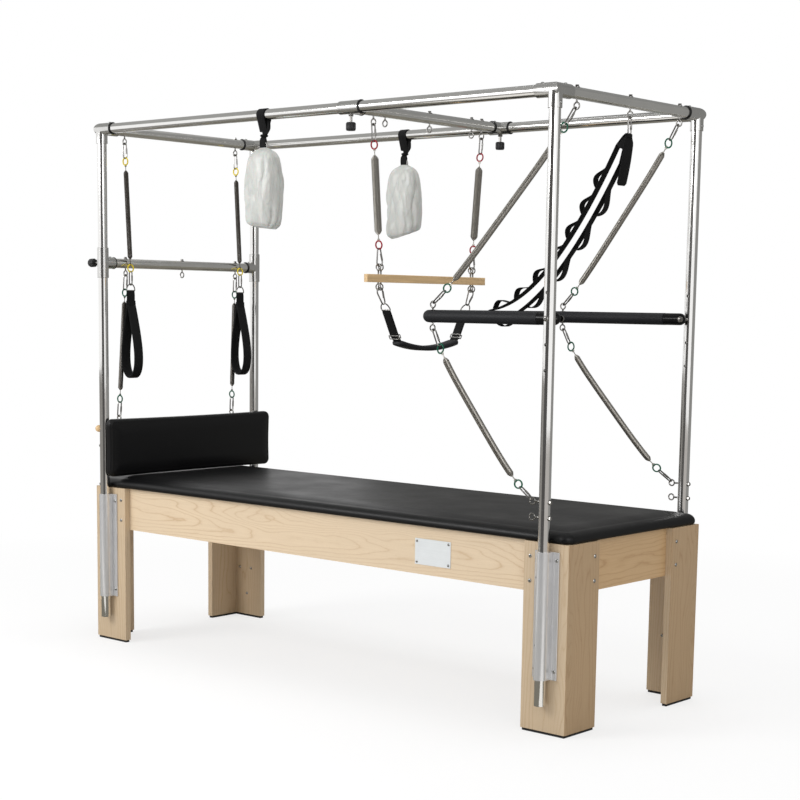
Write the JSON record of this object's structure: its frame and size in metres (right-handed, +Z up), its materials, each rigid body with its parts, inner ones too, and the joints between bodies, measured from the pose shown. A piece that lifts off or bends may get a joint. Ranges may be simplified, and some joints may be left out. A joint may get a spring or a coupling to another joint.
{
  "type": "pilates trapeze table",
  "caption": "Padded wooden pilates table under a steel tube frame, with a sprung push-through bar, sliding trapeze, sliding mid bar, roll-down bar, foot loops and straps.",
  "frame": {"origin": "on the floor under the middle of the table", "axes": "+X along the table towards the push-through bar, +Y across it towards the rear side, +Z up"},
  "size_m": [2.356, 0.9274, 2.066],
  "materials": {
    "maple": "light clear-coated maple",
    "deck_wood": "plain board",
    "bar_wood": "turned and oiled",
    "foot_rubber": "matt",
    "bracket_aluminium": "satin extrusion",
    "chrome_tube": "polished",
    "satin_steel": "satin",
    "spring_steel": "drawn wire",
    "upholstery": "fine-grained synthetic leather",
    "bar_padding": "foam sleeve in synthetic leather",
    "webbing": "woven webbing",
    "knob_plastic": "moulded",
    "bag_film": "white fleece in a clear bag",
    "plate_metal": "bare brushed plate"
  },
  "bodies": {
    "frame": {"front_rail": "maple", "rear_rail": "maple", "near_end_rail": "maple", "far_end_rail": "maple", "deck_board": "deck_wood", "near_front_leg": "maple", "near_rear_leg": "maple", "far_front_leg": "maple", "far_rear_leg": "maple", "near_front_foot_pad": "foot_rubber", "near_rear_foot_pad": "foot_rubber", "far_front_foot_pad": "foot_rubber", "far_rear_foot_pad": "foot_rubber", "near_front_post_bracket": "bracket_aluminium", "near_rear_post_bracket": "bracket_aluminium", "far_front_post_bracket": "bracket_aluminium", "far_rear_post_bracket": "bracket_aluminium", "near_front_post": "chrome_tube", "near_rear_post": "chrome_tube", "far_front_post": "chrome_tube", "far_rear_post": "chrome_tube", "near_front_corner_fitting": "satin_steel", "near_rear_corner_fitting": "satin_steel", "far_front_corner_fitting": "satin_steel", "far_rear_corner_fitting": "satin_steel", "front_top_rail": "chrome_tube", "rear_top_rail": "chrome_tube", "near_top_crossbar": "satin_steel", "far_top_crossbar": "satin_steel", "front_pivot_bolt": "chrome_tube", "rear_pivot_bolt": "chrome_tube", "push_upper_spring_front": "spring_steel", "push_upper_spring_rear": "spring_steel", "push_lower_spring_front": "spring_steel", "push_lower_spring_rear": "spring_steel", "safety_strap": "webbing", "mattress": "upholstery", "nameplate": "plate_metal"},
    "push_bar": {"push_bar_pad": "bar_padding", "push_bar_tube": "chrome_tube"},
    "trapeze_slider": {"trapeze_slider": "satin_steel"},
    "trapeze_knob_front": {"trapeze_knob_front": "knob_plastic"},
    "trapeze_knob_rear": {"trapeze_knob_rear": "knob_plastic"},
    "trapeze": {"trapeze_spring_front": "spring_steel", "trapeze_spring_rear": "spring_steel", "trapeze_bar": "bar_wood"},
    "trapeze_sling": {"trapeze_sling": "webbing"},
    "mid_slider": {"mid_slider": "satin_steel"},
    "mid_slider_knob": {"mid_slider_knob": "knob_plastic"},
    "roll_down": {"roll_down_spring_front": "spring_steel", "roll_down_spring_rear": "spring_steel", "roll_down_bar": "bar_wood"},
    "foot_spring_front": {"foot_spring_front": "spring_steel"},
    "foot_spring_rear": {"foot_spring_rear": "spring_steel"},
    "foot_loop_front": {"foot_loop_front": "webbing"},
    "foot_loop_rear": {"foot_loop_rear": "webbing"},
    "bolster": {"bolster": "upholstery"},
    "bagged_sling_front": {"bagged_sling_front": "bag_film"},
    "bagged_sling_rear": {"bagged_sling_rear": "bag_film"}
  },
  "joints": [
    {"name": "push_bar_hinge", "type": "hinge", "parent": "frame", "child": "push_bar", "pos_m": [1.095, 0, 1.34], "axis": [0, 1, 0], "range_deg": [-40, 40], "stiffness_Nm_per_rad": 110, "springref_deg": 14.04, "deforming": ["push_upper_spring_front", "push_upper_spring_rear", "push_lower_spring_front", "push_lower_spring_rear", "safety_strap"]},
    {"name": "trapeze_slide", "type": "slide", "parent": "frame", "child": "trapeze_slider", "axis": [1, 0, 0], "range_m": [-0.3, 0.05]},
    {"name": "trapeze_knob_front_turn", "type": "hinge", "parent": "trapeze_slider", "child": "trapeze_knob_front", "pos_m": [0.238, -0.414, 1.97], "axis": [0, 0, 1], "range_deg": [0, 270]},
    {"name": "trapeze_knob_rear_turn", "type": "hinge", "parent": "trapeze_slider", "child": "trapeze_knob_rear", "pos_m": [0.238, 0.414, 1.97], "axis": [0, 0, 1], "range_deg": [0, 270]},
    {"name": "trapeze_swing", "type": "hinge", "parent": "trapeze_slider", "child": "trapeze", "pos_m": [0.238, 0, 2.001], "axis": [0, 1, 0], "range_deg": [-8, 25]},
    {"name": "sling_swing", "type": "hinge", "parent": "trapeze", "child": "trapeze_sling", "pos_m": [0.238, 0, 1.437], "axis": [0, 1, 0], "range_deg": [-15, 25]},
    {"name": "mid_slide", "type": "slide", "parent": "frame", "child": "mid_slider", "axis": [0, 0, 1], "range_m": [0, 0.2]},
    {"name": "mid_knob_turn", "type": "hinge", "parent": "mid_slider", "child": "mid_slider_knob", "pos_m": [-1.16, -0.414, 1.523], "axis": [-1, 0, 0], "range_deg": [0, 270]},
    {"name": "roll_down_swing", "type": "hinge", "parent": "mid_slider", "child": "roll_down", "pos_m": [-1.095, 0, 1.484], "axis": [0, 1, 0], "range_deg": [0, 50]},
    {"name": "foot_spring_front_lean", "type": "hinge", "parent": "frame", "child": "foot_spring_front", "pos_m": [-1.095, -0.3, 2.001], "axis": [0, -1, 0], "range_deg": [0, 3]},
    {"name": "foot_loop_front_swing", "type": "hinge", "parent": "foot_spring_front", "child": "foot_loop_front", "pos_m": [-1.0636, -0.3, 1.4421], "axis": [0, -1, 0], "range_deg": [0, 30]},
    {"name": "foot_spring_rear_lean", "type": "hinge", "parent": "frame", "child": "foot_spring_rear", "pos_m": [-1.095, 0.3, 2.001], "axis": [0, -1, 0], "range_deg": [0, 3]},
    {"name": "foot_loop_rear_swing", "type": "hinge", "parent": "foot_spring_rear", "child": "foot_loop_rear", "pos_m": [-1.0636, 0.3, 1.4421], "axis": [0, -1, 0], "range_deg": [0, 30]},
    {"name": "bolster_lift", "type": "slide", "parent": "frame", "child": "bolster", "axis": [0, 0, 1], "range_m": [0, 0.12]},
    {"name": "bagged_sling_front_swing", "type": "hinge", "parent": "frame", "child": "bagged_sling_front", "pos_m": [-0.19, -0.414, 2.04], "axis": [1, 0, 0], "range_deg": [-15, 5]},
    {"name": "bagged_sling_rear_swing", "type": "hinge", "parent": "frame", "child": "bagged_sling_rear", "pos_m": [-0.244, 0.414, 2.04], "axis": [1, 0, 0], "range_deg": [-5, 15]}
  ],
  "couplings": [
    {"joint": "foot_spring_front_lean", "follows": "mid_slide", "rad_per_m": 0.2425},
    {"joint": "foot_spring_rear_lean", "follows": "mid_slide", "rad_per_m": 0.2425}
  ]
}
